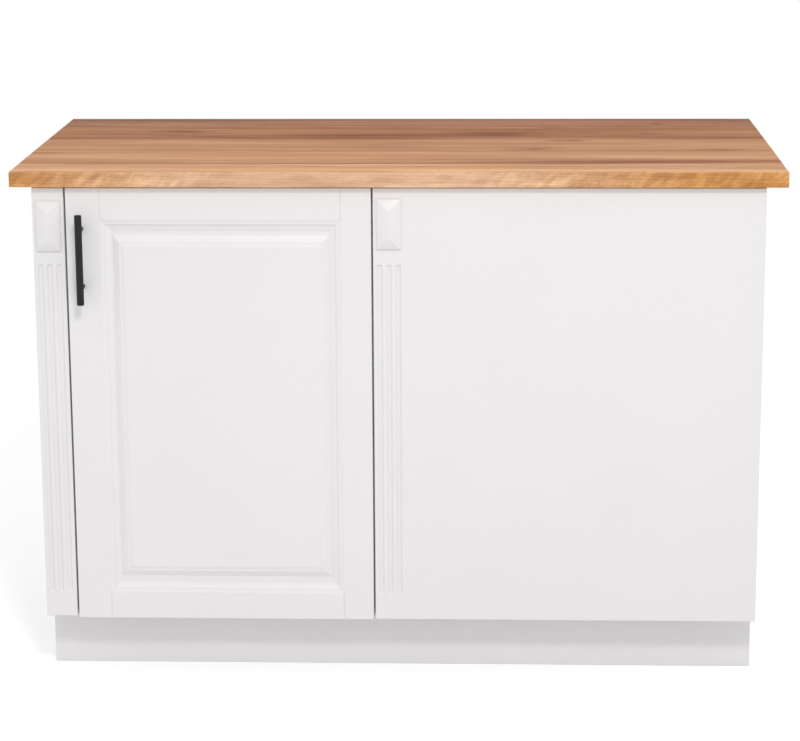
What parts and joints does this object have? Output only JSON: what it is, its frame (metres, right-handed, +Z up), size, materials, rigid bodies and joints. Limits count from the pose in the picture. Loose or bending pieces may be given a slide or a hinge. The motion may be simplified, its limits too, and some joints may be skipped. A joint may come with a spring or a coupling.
{
  "type": "kitchen island unit",
  "caption": "Painted island base with a raised-panel door on concealed hinges, a wide fixed front, fluted pilasters, a recessed plinth and an oak worktop that overhangs all round.",
  "frame": {"origin": "on the floor, under the middle of the worktop", "axes": "+X to the right as seen from the front, +Y to the back, +Z up; the door and the handle face -Y"},
  "size_m": [1.268, 0.66, 0.868],
  "materials": {
    "satin_paint": "white satin paint on smooth board",
    "oak": "oiled oak in full-length staves",
    "white_board": "white melamine-faced board",
    "plain_timber": "planed softwood",
    "black_metal": "matt black powder coat",
    "hinge_steel": "nickel-plated pressed steel",
    "zinc_steel": "bright zinc plate",
    "bumper": "clear soft plastic"
  },
  "bodies": {
    "root": {"worktop": "oak", "side_left": "satin_paint", "side_right": "satin_paint", "bottom_panel": "white_board", "back_panel": "satin_paint", "top_rail_front": "white_board", "top_rail_rear": "white_board", "hinge_post": "satin_paint", "shelf": "white_board", "shelf_pins": "zinc_steel", "left_pilaster": "satin_paint", "left_capital": "satin_paint", "blind_panel": "satin_paint", "centre_capital": "satin_paint", "left_cleat": "satin_paint", "right_cleat": "plain_timber", "front_screws": "zinc_steel", "plinth_front": "satin_paint", "plinth_rear": "satin_paint", "plinth_left": "satin_paint", "plinth_right": "satin_paint", "plinth_cross_rail": "plain_timber", "plinth_blocks": "plain_timber", "plinth_dowels": "plain_timber", "carcass_dowels": "plain_timber", "worktop_screws": "zinc_steel", "upper_arm_pins": "zinc_steel", "upper_hinge_arm": "hinge_steel", "upper_arm_screw": "zinc_steel", "upper_mounting_plate": "hinge_steel", "upper_plate_screws": "zinc_steel", "lower_arm_pins": "zinc_steel", "lower_hinge_arm": "hinge_steel", "lower_arm_screw": "zinc_steel", "lower_mounting_plate": "hinge_steel", "lower_plate_screws": "zinc_steel"},
    "inner_links": {"upper_inner_link": "hinge_steel", "lower_inner_link": "hinge_steel"},
    "door": {"door_left_stile": "satin_paint", "door_right_stile": "satin_paint", "door_top_rail": "satin_paint", "door_bottom_rail": "satin_paint", "door_panel": "satin_paint", "door_bumpers": "bumper", "handle_bar": "black_metal", "handle_posts": "black_metal", "handle_screws": "zinc_steel", "upper_hinge_cup": "hinge_steel", "upper_cup_screws": "zinc_steel", "upper_cup_pins": "zinc_steel", "lower_hinge_cup": "hinge_steel", "lower_cup_screws": "zinc_steel", "lower_cup_pins": "zinc_steel"},
    "outer_links": {"upper_outer_link": "hinge_steel", "lower_outer_link": "hinge_steel"}
  },
  "joints": [
    {"name": "inner_link_pivot", "type": "hinge", "parent": "root", "child": "inner_links", "pos_m": [-0.0879, -0.2684, 0.4705], "axis": [0, 0, 1], "range_deg": [-50, 0]},
    {"name": "door_hinge", "type": "hinge", "parent": "inner_links", "child": "door", "pos_m": [-0.06025, -0.2805, 0.4705], "axis": [0, 0, 1], "range_deg": [0, 140]},
    {"name": "outer_link_pivot", "type": "hinge", "parent": "root", "child": "outer_links", "pos_m": [-0.0864, -0.276, 0.4705], "axis": [0, 0, 1], "range_deg": [-57, 0]}
  ],
  "couplings": [
    {"joint": "inner_link_pivot", "follows": "door_hinge", "ratio": -0.35714},
    {"joint": "outer_link_pivot", "follows": "door_hinge", "ratio": -0.40307}
  ]
}
